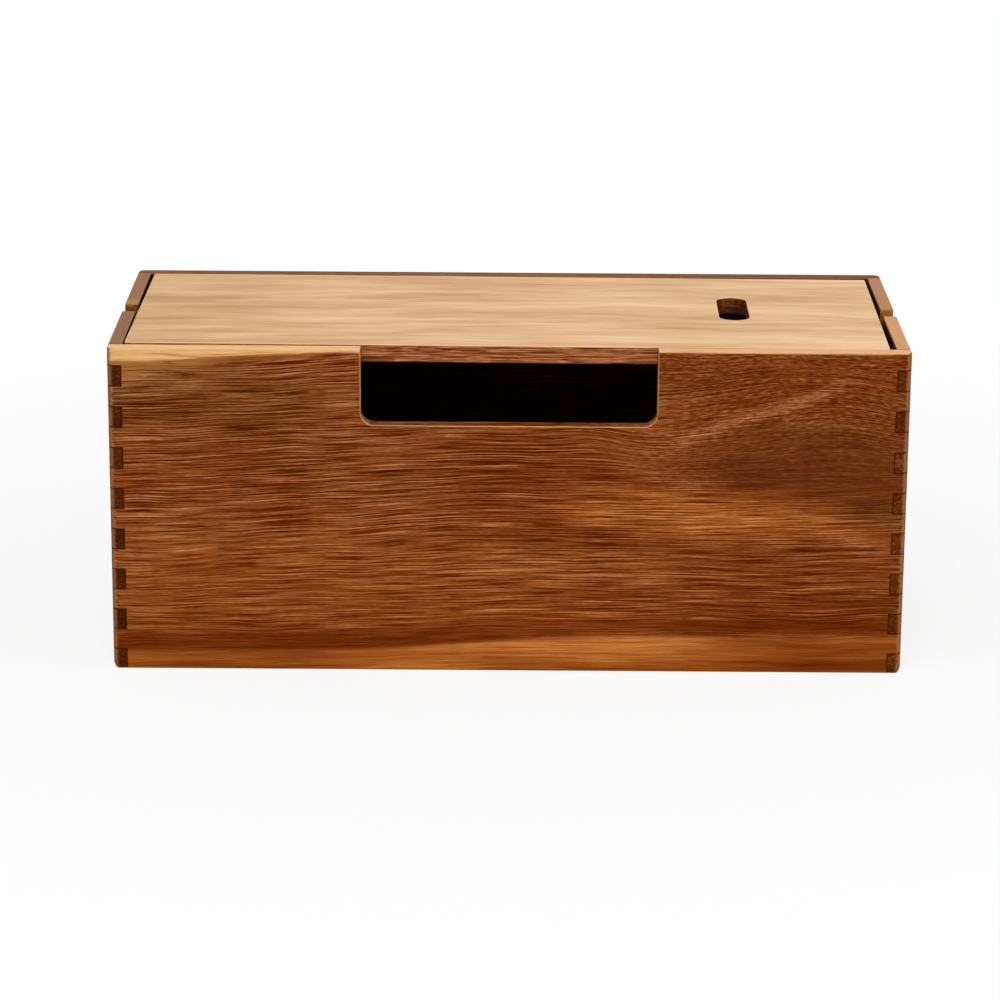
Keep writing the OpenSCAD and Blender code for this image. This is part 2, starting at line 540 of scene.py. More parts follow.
class Wood:
    """A board's material: mm along the grain, across it and into the board, and its layers."""

    def __init__(self, name, along, across, seed, drift=(6.0, 1.7)):
        self.material = bpy.data.materials.new(name)
        self.material.use_nodes = True
        self.tree = self.material.node_tree
        self.tree.nodes.clear()
        self.seed = seed
        self.draws = 0
        where = node(self.tree, "ShaderNodeTexCoord")
        place = separate(Flow(self.tree, where.outputs["Object"]))
        facing = separate(Flow(self.tree, where.outputs["Normal"]))
        through = 3 - along - across
        self.x, self.y, self.z = (axis / MM for axis in place)
        self.nx, self.ny, self.nz = facing
        self.u, self.v, self.w = (place[k] / MM for k in (along, across, through))
        self.plain_v = self.v
        self.end_grain = abs(facing[along]).smooth(0.35, 0.85)
        broad, narrow = drift
        self.v = self.plain_v + (self.noise(75.0, 40.0, 40.0) - 0.5) * broad
        self.v = self.v + (self.noise(24.0, 13.0, 13.0) - 0.5) * narrow
        ragged = (self.noise(22.0, 8.0) - 0.5) * 3.0 + (self.noise(40.0, 2.2) - 0.5) * 5.0
        self.figure_v = self.plain_v + ragged

    def noise(self, along, across, into=None, detail=1.5):
        """Noise in blotches of that many mm, 0 to 1 round a mean of a half."""
        self.draws += 1
        shift = 37.3 * self.seed + 11.9 * self.draws
        vector = combine(
            self.tree, self.u / along + shift, self.v / across, self.w / (into or across)
        )
        made = node(
            self.tree,
            "ShaderNodeTexNoise",
            {"noise_dimensions": "3D"},
            {"Vector": vector, "Scale": 1.0, "Detail": detail, "Roughness": 0.5},
        )
        return Flow(self.tree, made.outputs[0])

    def ramp(self, value, stops):
        made = node(self.tree, "ShaderNodeValToRGB", {"stops": stops}, {0: value})
        return Flow(self.tree, made.outputs[0])

    def mix(self, share, first, second):
        """Two colours mixed, the second by that share."""
        made = node(
            self.tree,
            "ShaderNodeMix",
            {"data_type": "RGBA", "blend_type": "MIX"},
            {"Factor_Float": share, "A_Color": first, "B_Color": second},
        )
        return Flow(self.tree, socket_of(made.outputs, "Result_Color"))

    def spot(self, u, v, long, high, tilt=0.0):
        """A soft patch of the board's face, 1 in its middle, tilted by a slope."""
        du = (self.u - u) / long
        dv = (self.figure_v - v - (self.u - u) * tilt) / high
        return (du * du + dv * dv).smooth(1.0, 0.0)

    def patches(self, places):
        """Soft patches added up, each given as its strength followed by its spot."""
        return sum(self.spot(*place) * strength for strength, *place in places)

    def lines(self, long=20.0, thick=0.5, gain=1.0):
        """The cut vessels: thin dark lines and fainter light ones, round a mean of 0."""
        short = self.noise(long, thick, detail=0.0)
        drawn = self.noise(long * 2.2, thick, detail=0.0)
        flecks = self.noise(2.6, 0.5, detail=0.0) - 0.5
        dark = short.smooth(0.46, 0.3) * 0.42 + drawn.smooth(0.46, 0.3) * 0.37
        pale = short.smooth(0.56, 0.72) * 0.23 + drawn.smooth(0.56, 0.72) * 0.21
        return (pale - dark + flecks * 0.25 + 0.082) * gain

    def bands(self, gain=1.0):
        """The broader streaks and clouds of a board, round a mean of 0."""
        streaks = self.noise(48.0, 2.4, detail=1.0) - 0.5
        wide = self.noise(95.0, 6.5, detail=1.0) - 0.5
        clouds = self.noise(40.0, 20.0, detail=1.0) - 0.5
        return (streaks * 0.18 + wide * 0.16 + clouds * 0.2) * gain

    def heart(self, light, umber_share=None):
        """Heartwood of that lightness, red-brown with olive-brown stretches."""
        if umber_share is None:
            umber_share = self.noise(70.0, 16.0, detail=1.0).smooth(0.4, 0.66) * 0.4
        return self.mix(umber_share, self.ramp(light, HEART), self.ramp(light, UMBER))

    def pores(self):
        """The open pores: short dark dashes along the grain."""
        return self.noise(6.5, 0.5, detail=0.0).smooth(0.6, 0.7)

    def joint_lines(self):
        """The thin dark glue lines round every finger, on the front, the rear and the ends."""
        level = self.z / FINGER_H
        off_level = abs((level + 0.5) % 1.0 - 0.5) * FINGER_H
        end_finger = (level % 2.0) < 1.0
        half_l, half_w = INNER_L / 2, INNER_W / 2
        across_face = abs(self.y) > half_w
        beyond_x = (abs(self.x) > half_l - SLACK) * across_face
        beyond_y = (abs(self.y) > half_w - SLACK) * (abs(self.x) > half_l)
        sideways = abs(self.nz).smooth(0.7, 0.4)
        flat = off_level.smooth(*GLUE_FADE) * beyond_x.math("MAXIMUM", beyond_y)
        from_x = abs(abs(self.x) - half_l).smooth(*GLUE_FADE)
        from_y = abs(abs(self.y) - half_w).smooth(*GLUE_FADE)
        upright_x = from_x * end_finger * abs(self.ny)
        upright_y = from_y * (1.0 - end_finger) * abs(self.nx)
        return (flat + upright_x + upright_y).clamp() * sideways

    def shade_inside(self, colour):
        """The colour, darkened nearly to black as painted shade on the faces that look into the
        closed box.
        """
        looks_in = (abs(self.x) < INNER_L / 2 + SLACK) * (abs(self.y) < INNER_W / 2 + SLACK)
        return self.mix(looks_in * 0.75, colour, INSIDE_SHADE_TONE)

    def finish(
        self, colour, pores, end_light=0.5, wear_and_highlight=0.24, worn_and_lit_tone=WORN_AND_LIT_TONE, gloss=0.02, bump=0.25
    ):
        """Adds end grain, joints, pores and worn edges with a painted highlight to a colour, and
        the shader.
        """
        tree = self.tree
        speck = self.noise(3.0, 0.9, detail=1.0) - 0.5
        patch = (self.noise(60.0, 9.0, 9.0, detail=0.0) - 0.5) * 0.5
        end_colour = self.ramp(speck + patch + end_light, END_GRAIN)
        colour = self.mix(pores * 0.36 * (1.0 - self.end_grain), colour, PORE_TONE)
        colour = self.mix(self.end_grain * 0.96, colour, end_colour)
        squareness = abs(self.nx).math("MAXIMUM", abs(self.ny)).math("MAXIMUM", abs(self.nz))
        # Painted highlight: every rounded edge gets the pale tone, partly real wear and partly the
        # light it catches.
        worn_and_lit = squareness.smooth(0.985, 0.85)
        colour = self.mix(worn_and_lit * wear_and_highlight, colour, worn_and_lit_tone)
        colour = self.mix(self.joint_lines() * 0.75, colour, GLUE_TONE)
        rough = 0.5 + pores * 0.2 + self.end_grain * 0.12 - worn_and_lit * 0.12
        height = 1.0 - pores + (self.noise(8.0, 0.5) - 0.5) * 0.5
        bumps = node(
            tree, "ShaderNodeBump", None, {"Strength": bump, "Distance": 0.1 * MM, "Height": height}
        )
        shader = node(
            tree,
            "ShaderNodeBsdfPrincipled",
            None,
            {
                "Base Color": colour,
                "Roughness": rough,
                "Specular IOR Level": gloss,
                "Normal": Flow(tree, bumps.outputs[0]),
            },
        )
        node(tree, "ShaderNodeOutputMaterial", None, {0: Flow(tree, shader.outputs[0])})
        print(f"{self.material.name}: {len(tree.nodes)} nodes")
        return self.material


# %% [markdown]
# ### The front board
#
# This is the board everybody sees, so its figure is drawn on purpose. It starts with soft
# patches that are lighter or darker than the rest. Each is an ellipse, given by its strength,
# its middle, its two half sizes and, where it leans, a slope. Two of them also change the hue,
# so they have names.

# %% Patches of the front board
RED_SHADOW = (120.0, 83.0, 66.0, 23.0)
AMBER_GLOW = (78.0, 65.0, 74.0, 14.0, -0.05)
LIGHTER = (
    (0.17, *AMBER_GLOW),
    (0.07, -140.0, 44.0, 60.0, 30.0),  # left end, half way up
    (0.03, 0.0, 41.0, 80.0, 24.0),  # middle, wide
    (0.1, 20.0, 43.0, 80.0, 8.0),  # middle, a narrow streak
    (0.12, 135.0, 52.0, 24.0, 5.0),  # right end, half way up
    (0.14, -72.0, 96.0, 18.0, 3.0, 0.08),  # a short streak at the upper left
    (0.14, -136.0, 119.0, 50.0, 9.0),  # left end, right under the sapwood
)
DARKER = (
    (0.17, *RED_SHADOW),
    (0.08, 96.0, 82.0, 22.0, 9.0),  # the heart of the red shadow
    (0.05, -110.0, 96.0, 70.0, 34.0),  # upper left
    (0.05, 20.0, 66.0, 50.0, 40.0),  # middle, from the foot to the rim
    (0.07, 110.0, 120.0, 76.0, 20.0),  # upper right
    (0.09, 0.0, 84.0, 60.0, 24.0),  # under the cut-out
    (0.12, 146.0, 67.0, 18.0, 6.0),  # right end, half way up
    (0.09, 100.0, 38.0, 90.0, 24.0),  # lower right, wide
    (0.16, 125.0, 27.0, 64.0, 8.0),  # lower right, over the foot
    (0.12, 20.0, 55.0, 75.0, 7.0),  # over the narrow streak
    (0.1, 10.0, 31.0, 64.0, 6.0),  # under the narrow streak
    (0.09, -110.0, 19.0, 50.0, 7.0),  # lower left, over the foot
    (0.13, -112.0, 41.0, 44.0, 3.5),  # left, a thin line
)
FOOT_SHEEN = ((0.22, 32.0, 6.0, 96.0, 22.0), (0.12, -42.0, 8.0, 42.0, 16.0))

# %% [markdown]
# The grain isn't level. Over the left half it climbs, round the light ribbon on the right it
# leans with the ribbon, and towards the upper right its lines break up into short flecks. In
# the red shadow and along the lower left it is calmer than elsewhere. The ribbon's middle line
# is a gentle S that climbs to the right.


# %% Grain and figure of the front board
def front_figure(wood):
    """Bends the board's grain; returns its lines, the same with flecks, and the figure."""
    x, z = wood.u, wood.figure_v
    climb = x.smooth(-150.0, 10.0) * (3.5 + wood.v.smooth(20.0, 70.0) * 3.5)
    lean = (x.math("MINIMUM", 130.0) - 97.0) / 33.0
    rise = lean * 9.9 + lean * lean * lean * 3.7
    from_ribbon = abs(z - 105.5 - rise)
    tilt = (x - 92.0) * 0.13 * wood.spot(92.0, 103.0, 66.0, 30.0)
    wood.v = wood.v - climb - tilt

    short_grain = x.smooth(10.0, 80.0) * z.smooth(60.0, 90.0)
    flecks = wood.noise(3.0, 0.5, detail=1.0) - 0.5
    lines = wood.lines() * (1.0 - short_grain * 0.5)
    quiet = wood.spot(*RED_SHADOW) * 0.3 + wood.spot(-120.0, 30.0, 150.0, 40.0) * 0.2
    fine = (lines + flecks * short_grain * 1.2) * (1.0 - quiet)

    ribbon = from_ribbon.smooth(5.0, 0.5) * x.smooth(56.0, 80.0) * x.smooth(142.0, 118.0)
    figure = ribbon * 0.25 + wood.patches(LIGHTER) - wood.patches(DARKER)
    return lines, fine, figure


# %% [markdown]
# Along the foot the board turns amber. The border of that climbs to the right, and a dark band
# runs right above it. The amber is brightest just under the border and dulls towards the table.


# %% Foot of the front board
def over_border(wood, lines):
    """Height in mm over the border of the amber foot, ragged like the grain."""
    border = 7.2 + wood.u.smooth(-125.0, -75.0) * 0.8 + wood.u.smooth(-80.0, 50.0) * 6.2
    return wood.plain_v + (wood.noise(60.0, 12.0) - 0.5) * 1.6 + lines * 1.6 - border


def foot_light(wood, lines):
    """Lightness of the amber wood below that border."""
    x = wood.u
    fall = (wood.plain_v.smooth(1.0, 13.0) * 0.3 - 0.18) * x.smooth(-60.0, 10.0)
    right_end = x.smooth(105.0, 140.0) * 0.07 - x.smooth(60.0, 120.0) * 0.19
    streaks = (wood.noise(70.0, 2.0, detail=1.0) - 0.5) * 0.63
    sheen = wood.patches(FOOT_SHEEN) + fall + right_end
    return 0.53 + lines * 0.3 + streaks + wood.bands(0.6) + sheen


# %% [markdown]
# Along the rim runs a pale strip of sapwood. It is widest at the left end, narrows towards the
# cut-out and is a mere line beyond it. A warm half-tone leads from the heartwood into it. Its
# upward faces get a painted sheen from the light above.


# %% Sapwood of the front board
def add_sapwood(wood, lines, colour):
    """Lays the sapwood over a colour, with a painted sheen on its upward faces, and returns that
    and the sapwood's share.
    """
    x = wood.u
    on_right = x.smooth(40.0, 60.0)
    wander = (wood.noise(40.0, 6.0) - 0.5) * 0.8
    edge = 125.2 + x.smooth(-145.0, -97.0) * 2.9 + x.smooth(-100.0, -66.0) * 0.9 + on_right * 0.9
    over_edge = wood.plain_v + wander + lines * 0.4 - edge
    fade = 5.5 - x.smooth(-135.0, -75.0) * 4.0 - on_right * 0.7
    colour = wood.mix((over_edge / fade).smooth(-1.1, -0.2) * 0.7, colour, tone(172, 112, 54))
    sap = over_edge.smooth(-0.8, 0.1)
    ochre = (wood.noise(40.0, 1.6, detail=1.0) - 0.5) * x.smooth(-60.0, -100.0)
    dull_end = x.smooth(-80.0, -130.0) * wood.plain_v.smooth(BOX_H - 0.4, BOX_H - 2.0) * 0.14
    sap_light = 0.62 + wood.lines(12.0, 0.6, 0.5) + wood.bands() + ochre - dull_end
    colour = wood.mix(sap, colour, wood.ramp(sap_light, SAP))
    # Painted sheen: the sapwood's upward faces get a paler rim tone, as they catch the light from
    # above.
    rim_tone_with_sheen = wood.mix(x.smooth(-20.0, 60.0), tone(244, 196, 144), tone(226, 178, 140))
    return wood.mix(wood.nz.smooth(0.5, 0.9) * sap * 0.45, colour, rim_tone_with_sheen), sap


# %% [markdown]
# The layers come together here: the heartwood with its figure, amber where it glows and low on
# the board, the foot, and the sapwood. The cut-out's edge is paler than the other edges, partly
# rubbed by hands that reach in there and partly a painted highlight on its rounds. All of that
# edge lies within a millimetre of the opening.

# %% Wood of the front board
NEARBY = 1.0


def front_wood():
    wood = Wood("front_panel_wood", along=0, across=2, seed=1)
    x, z = wood.u, wood.figure_v
    lines, fine, figure = front_figure(wood)
    height = over_border(wood, lines)
    in_foot = height.smooth(1.3, -1.1)
    softness = 1.6 + x.smooth(-20.0, 40.0) * 3.4
    band = height.smooth(-0.4, softness) * height.smooth(11.0, 5.0)
    band_depth = 0.35 - wood.spot(25.0, 20.0, 60.0, 20.0) * 0.16
    light = 0.5 + fine * (1.0 - band * 0.5) + wood.bands() + figure - band * band_depth
    foot = wood.ramp(foot_light(wood, lines), AMBER)

    clouds = wood.noise(70.0, 16.0, detail=1.0).smooth(0.42, 0.66) * 0.22
    olive_ends = wood.spot(140.0, 66.0, 22.0, 7.0) + wood.spot(-118.0, 110.0, 70.0, 20.0) * 0.5
    heart = wood.heart(light, (clouds + olive_ends).clamp())
    colour = wood.mix(wood.spot(*RED_SHADOW) * 0.34, heart, tone(92, 46, 26))
    low_amber = (band * 0.4 + z.smooth(88.0, 20.0) * 0.5) * (1.0 - x.smooth(20.0, 90.0) * 0.45)
    amber = wood.spot(*AMBER_GLOW).smooth(0.0, 0.6) * 0.5 + low_amber
    colour = wood.mix(amber.clamp(), colour, wood.ramp(light, AMBER))
    colour = wood.mix(in_foot, colour, foot)
    colour, sap = add_sapwood(wood, lines, colour)
    pores = wood.pores() * (1.0 - sap * 0.8) * (1.0 - in_foot * 0.6)
    colour = wood.shade_inside(colour)

    # Painted highlight and wear: the rounds of the cut-out get more of the pale worn tone.
    front_edges = (wood.y < front_low.y + NEARBY) * abs(wood.ny).smooth(0.999, 0.98)
    beside = abs(wood.x) < CUTOUT_W / 2 + NEARBY
    between = (wood.z > BOX_H - CUTOUT_D - NEARBY) * (wood.z < BOX_H - NEARBY)
    rubbed_and_lit = front_edges * beside * between
    return wood.finish(colour, pores, end_light=0.6, wear_and_highlight=0.24 + rubbed_and_lit * 0.4)


front_material = front_wood()

# %% [markdown]
# ### The other boards
#
# The rest come from the same tree, so they share the ramps and differ in seed, in how much the
# grain wanders and in where the pale wood lies. The lid is the odd one: its upper skin is pale,
# a painted light and sheen from above over the brown heart that its edges show.


# %% Wood of the rear board and the floor board
def plain_wood(name, across, seed, shift=0.0):
    """Heartwood with no drawn figure, grain along the length of the box."""
    wood = Wood(name, along=0, across=across, seed=seed)
    light = 0.5 + shift + wood.lines(gain=0.8) + wood.bands(1.6)
    amber_share = wood.noise(110.0, 14.0).smooth(0.5, 0.75) * 0.7
    colour = wood.mix(amber_share, wood.heart(light), wood.ramp(light, AMBER))
    colour = wood.shade_inside(colour)
    rim = (wood.z - (BOX_H - 0.5)).smooth(0.0, 0.4)
    colour = wood.mix(rim * 0.6, colour, tone(118, 84, 48))
    return wood.finish(colour, wood.pores())


rear_material = plain_wood("rear_panel_wood", across=2, seed=2)
floor_material = plain_wood("floor_wood", across=1, seed=5, shift=-0.1)


# %% [markdown]
# In the end boards the grain runs from front to back, so their fingers show end grain at the
# front. Their rims are paler, partly pale wood and partly a painted sheen from the light above,
# and a short stretch of them behind the notch gets a painted ochre highlight where the far lip
# catches the light. The walls of the notch get painted light that grows towards the rim.


# %% Wood of the end boards
def end_wood(name, seed, shift, front_rim, rear_rim, end_light):
    """An end board's heartwood, grain from front to back, with a paler rim that is partly painted
    sheen, and painted light in its notch.
    """
    wood = Wood(name, along=1, across=2, seed=seed)
    light = 0.5 + shift + wood.lines(gain=0.85) + wood.bands(1.5)
    amber_share = wood.noise(90.0, 12.0).smooth(0.5, 0.7) * 0.6
    colour = wood.mix(amber_share, wood.heart(light), wood.ramp(light, AMBER))
    # The rim: partly pale wood, partly a painted sheen from the light above.
    rim = (wood.plain_v - (BOX_H - 1.4)).smooth(-0.6, 0.6)
    rim_tone_with_sheen = wood.mix(wood.u.smooth(-8.0, 4.0), tone(*front_rim), tone(*rear_rim))
    colour = wood.mix(rim * 0.86, colour, rim_tone_with_sheen)
    # Painted highlight: an ochre stretch of the rim behind the notch, where the far lip catches the
    # light.
    ochre = wood.u.smooth(5.0, 7.0) * wood.u.smooth(17.0, 11.0)
    colour = wood.mix(rim * ochre * 0.6, colour, tone(186, 132, 78))
    colour = wood.shade_inside(colour)
    # Painted light: the end grain of the notch's walls grows lighter towards the rim.
    lit_notch_walls = (abs(wood.u) < NOTCH_W) * (0.15 + wood.plain_v.smooth(BOX_H - 6.0, BOX_H) * 0.42)
    pores = wood.pores() * (1.0 - rim * 0.8)
    low_end = wood.plain_v.smooth(24.0, 4.0) * 0.1
    return wood.finish(colour, pores, end_light=end_light + lit_notch_walls + low_end)


left_material = end_wood("left_end_wood", 3, -0.06, (148, 106, 80), (156, 112, 78), 0.34)
right_material = end_wood("right_end_wood", 4, 0.0, (218, 164, 113), (192, 137, 100), 0.54)


# %% [markdown]
# The lid's grain is wider and calmer, and it bows a little towards both ends. A few smoky
# streaks and one light corner break up its upper skin, and painted light makes it lighter
# towards the right. The wall of its slot gets painted shade where less light gets in.

# %% Wood of the lid and the corner blocks
SMOKE = (
    (0.14, -34.0, 20.0, 34.0, 12.0, -0.1),
    (0.2, -16.0, -22.0, 26.0, 5.0, -0.05),
    (0.14, -134.0, -18.0, 22.0, 9.0),
    (0.2, 84.0, -13.0, 20.0, 5.0, -0.1),
)
LIT_SKIN_T = 0.45


def lid_wood():
    wood = Wood("lid_wood", along=0, across=1, seed=6, drift=(10.0, 3.0))
    bow = wood.u / 150.0
    wood.v = wood.v + bow * bow * 5.0
    hair = wood.noise(8.0, 1.2) - 0.5
    fine = wood.noise(30.0, 2.4) - 0.5
    streak = wood.noise(60.0, 6.0) - 0.5
    wide = wood.noise(90.0, 18.0, detail=1.0) - 0.5
    # Painted light: the lid grows lighter towards the right, where the light comes from.
    light = 0.48 + hair * 0.3 + fine * 0.55 + streak * 0.8 + wide * 0.8 + wood.x / 2400.0
    light = light - wood.patches(SMOKE) + wood.spot(76.0, -42.0, 60.0, 16.0) * 0.14
    pale = wood.ramp(light, PALE_LIT_TOP)
    edge_light = 0.58 + wood.lines() + wood.bands()
    edge = wood.mix(0.3, wood.heart(edge_light, 0.0), wood.ramp(edge_light, AMBER))
    depth = BOX_H - wood.z
    across_slot = abs(wood.x - SLOT_AT[0]) < SLOT_W / 2 + 1.0
    along_slot = abs(wood.y - SLOT_AT[1]) < SLOT_LEN / 2 + 0.8
    # Painted shade: the slot's wall darkens on its right half and towards its bottom.
    unlit = wood.x.smooth(86.0, 94.0) * 0.55 + depth.smooth(2.0, 6.5) * 0.5
    edge = wood.mix(across_slot * along_slot * (unlit * 0.8 + 0.1), edge, tone(40, 6, 2))
    # Painted light and sheen: the thin top skin takes the pale ramp, the wood below it the brown
    # heart.
    lit_skin = (wood.z - (BOX_H - LIT_SKIN_T)).smooth(-SLACK, SLACK)
    colour = wood.mix(lit_skin, edge, pale)
    pores = wood.pores() * (1.0 - lit_skin * 0.85)
    # Painted highlight and wear: only the upper edges get the pale worn tone, as they catch the
    # light.
    return wood.finish(
        colour, pores, wear_and_highlight=lit_skin * 0.6, worn_and_lit_tone=tone(244, 210, 170), gloss=0.2, bump=0.15
    )


def block_wood():
    wood = Wood("block_wood", along=2, across=0, seed=7)
    light = 0.45 + wood.lines() + wood.bands()
    return wood.finish(wood.heart(light), wood.pores())


lid_material = lid_wood()
block_material = block_wood()

# %% [markdown]
# ## Making the four walls
#
# Every wall goes through the same steps: draw it with its fingers long, trim it to the outer
# form of the glued box, rout the groove for the floor board, cut its opening, ease the edges.
# The outer form is where the rounded uprights and the rounded foot come from, so the round
# runs through the fingers of both boards as it does when a box is sanded after glue-up.


# %% Outer form and floor groove
def outer_form():
    """The outside of the glued and sanded box."""
    half_l, half_w = BOX_L / 2, BOX_W / 2
    plan = eased_rectangle(-half_l, half_l, -half_w, half_w, CORNER_R, CORNER_R)
    face = eased_rectangle(-half_l, half_l, 0.0, BOX_H + 2 * SPARE, FOOT_R)
    side = eased_rectangle(-half_w, half_w, 0.0, BOX_H + 3 * SPARE, UNDER_R)
    form = prism("outer_form", "Z", plan, -SPARE, BOX_H)
    carve(form, prism("face_form", "Y", face, -BOX_W, BOX_W), "INTERSECT")
    carve(form, prism("side_form", "X", side, -BOX_L, BOX_L), "INTERSECT")
    return form


GROOVE_PLAY = 0.1
GROOVE_END = 4.0
TONGUE = (floor_high.x - floor_low.x - INNER_L) / 2


def cross_boxes(name, low_z, high_z):
    """Two crossed slabs: the shape of a board whose four tongues stop short of the corners."""
    half_l, half_w = INNER_L / 2, INNER_W / 2
    spans = ((half_l + TONGUE, half_w - GROOVE_END), (half_l - GROOVE_END, half_w + TONGUE))
    return [
        box_prism(f"{name}_{i}", (-x, -y, low_z), (x, y, high_z)) for i, (x, y) in enumerate(spans)
    ]


form = outer_form()
print(f"outer form: {len(form.data.polygons)} faces, tongue {TONGUE:.1f}")

# %% [markdown]
# The tree draws a wall flat, with its length along X and its height along Y. The place and the
# turn stand it up where it belongs. Counted from the table, the end boards own the first step
# of a corner, and the front and rear boards the second.

# %% Draw and trim a wall
QUARTER = math.pi / 2
FIRST_OF_ENDS, FIRST_OF_SIDES = 0, 1


def wall_board(name, length, thickness, depth, first_own, place, turn, material):
    """A wall from the finger_wall tree, trimmed flush and grooved."""
    wall = new_object(name, bpy.data.meshes.new(name))
    drawn = wall.modifiers.new("finger wall", "NODES")
    drawn.node_group = finger_wall
    given = {
        "Length": length,
        "Height": BOX_H,
        "Thickness": thickness + SPARE,
        "Sections": SECTIONS,
        "Finger Height": FINGER_H,
        "Finger Depth": depth,
        "Glue Gap": GLUE_GAP,
        "First Own Section": first_own,
        "Allowance": SPARE,
        "Place": place,
        "Turn": turn,
        "Material": material,
    }
    for socket in finger_wall.interface.items_tree:
        if socket.name in given:
            drawn[socket.identifier] = given[socket.name]
    settle(wall)
    carve(wall, form, "INTERSECT", keep_tool=True)
    for slab in cross_boxes("groove", floor_low.z, floor_high.z + GROOVE_PLAY):
        carve(wall, slab)
    clean(wall)
    return wall


# %% [markdown]
# ### Front and rear boards
#
# The front board's cut-out is where a hand reaches in, so all its edges are eased, back and
# front. Its outline is a U with round inner corners, cut straight through.


# %% Front and rear boards
def side_board(board, side, material):
    """A long wall; side is -1 for the front and 1 for the rear."""
    inner = side * INNER_W / 2
    place = (0.0, inner + (SIDE_T + SPARE if side > 0 else 0.0), 0.0)
    turn = (QUARTER, 0.0, 0.0)
    return wall_board(board, BOX_L, SIDE_T, END_T, FIRST_OF_SIDES, place, turn, material)


def rim_edge(a, b):
    return near(a.z, BOX_H) and near(b.z, BOX_H)


def front_edge(a, b):
    """The rim and, on both faces, the outline of the cut-out."""
    sill = BOX_H - CUTOUT_D - CLOSE
    half = CUTOUT_W / 2 + CLOSE
    on_face = near(a.y, front_low.y, front_high.y) and near(a.y, b.y)
    in_cutout = all(abs(p.x) < half and p.z > sill for p in (a, b))
    return rim_edge(a, b) or (on_face and in_cutout)


front = side_board("front_panel", -1, front_material)
half_cut = CUTOUT_W / 2
cutout = eased_rectangle(-half_cut, half_cut, BOX_H - CUTOUT_D, BOX_H + SPARE, CUTOUT_R)
carve(front, prism("cutout", "Y", cutout, -BOX_W, 0.0))
clean(front)
print("front edges eased:", ease(front, front_edge))
hand_over(front, "front_panel", front_material)

rear = side_board("rear_panel", 1, rear_material)
print("rear edges eased:", ease(rear, rim_edge))
hand_over(rear, "rear_panel", rear_material)

# %% [markdown]
# ### End boards
#
# Each end has a notch for one lead. It is a slot with a round bottom, and where it meets the
# rim its lips are rounded so that a plug's cable doesn't catch.

# %% End boards
LIP_R = 1.0


def notch_outline():
    """The notch as (y, z) points, up its right side, along the top and down again."""
    half = NOTCH_W / 2
    lip = half + LIP_R
    floor_z = BOX_H - NOTCH_D + half
    return [
        *arc((0.0, floor_z), half, 180, 360),
        *arc((lip, BOX_H - LIP_R), LIP_R, 180, 90),
        (lip, BOX_H + SPARE),
        (-lip, BOX_H + SPARE),
        *arc((-lip, BOX_H - LIP_R), LIP_R, 90, 0),
    ]


def end_edge(a, b):
    """The rim and the notch on both faces, but not the joints with the long walls."""
    joint = all(near(abs(p.y), INNER_W / 2) for p in (a, b))
    at_notch = all(p.z > BOX_H - NOTCH_D - CLOSE and abs(p.y) < NOTCH_W for p in (a, b))
    return not joint and (rim_edge(a, b) or (at_notch and near(a.x, b.x)))


for board, side, material in (
    ("left_end_panel", -1, left_material),
    ("right_end_panel", 1, right_material),
):
    inner = side * INNER_L / 2
    place = (inner - (END_T + SPARE if side < 0 else 0.0), 0.0, 0.0)
    turn = (QUARTER, 0.0, QUARTER)
    end = wall_board(board, BOX_W, END_T, SIDE_T, FIRST_OF_ENDS, place, turn, material)
    carve(end, prism("notch", "X", notch_outline(), inner - 2 * SPARE, inner + 2 * SPARE))
    clean(end)
    print("end edges eased:", ease(end, end_edge))
    hand_over(end, board, material)

bpy.data.objects.remove(form)

# %% [markdown]
# ## Inside the box and the lid
#
# The floor board, the four corner blocks and the lid are plain boards. The floor board is two
# crossed slabs and a middle, so that its four tongues stop short of the corners.


# %% Floor board
def every_edge(_a, _b):
    return True


floor_board, crossing = cross_boxes("floor", floor_low.z, floor_high.z)
carve(floor_board, crossing, "UNION")
half_l, half_w = INNER_L / 2, INNER_W / 2
middle = box_prism(
    "floor_middle", (-half_l, -half_w, floor_low.z), (half_l, half_w, floor_high.z)
)
carve(floor_board, middle, "UNION")
clean(floor_board)
print("floor edges eased:", ease(floor_board, every_edge, width=0.4, steps=2))
hand_over(floor_board, "floor_board", floor_material)

# %% [markdown]
# The corner blocks carry the lid. Each is glued into a corner right under it, and the block's
# free corner is cut off, so that no lead catches there.

# %% Corner blocks
BLOCK_CHAMFER = 4.0

for name, side_x, side_y in (
    ("corner_block_front_left", -1, -1),
    ("corner_block_front_right", 1, -1),
    ("corner_block_rear_left", -1, 1),
    ("corner_block_rear_right", 1, 1),
):
    low, high = board_box(name)
    size = high.x - low.x
    free = size - BLOCK_CHAMFER
    plan = [(0, 0), (size, 0), (size, free), (free, size), (0, size)]
    outline = [
        (side_x * (INNER_L / 2 - a), side_y * (INNER_W / 2 - b)) for a, b in plan
    ]
    block = prism(name, "Z", outline, low.z, high.z)
    ease(block, every_edge, width=0.5, steps=2)
    hand_over(block, name, block_material)

# %% [markdown]
# The lid is drawn round its own middle. A loose lid never lies square, so it is then turned by
# half a degree, most of what its play allows, and pushed a little to the left.

# %% Lid
LID_PLAY_L = 3.0
LID_PLAY_W = 3.5
LID_SKEW = 0.8
LID_LEFT = 0.45
LID_CORNER_R = 1.0
LID_ARRIS = 0.4

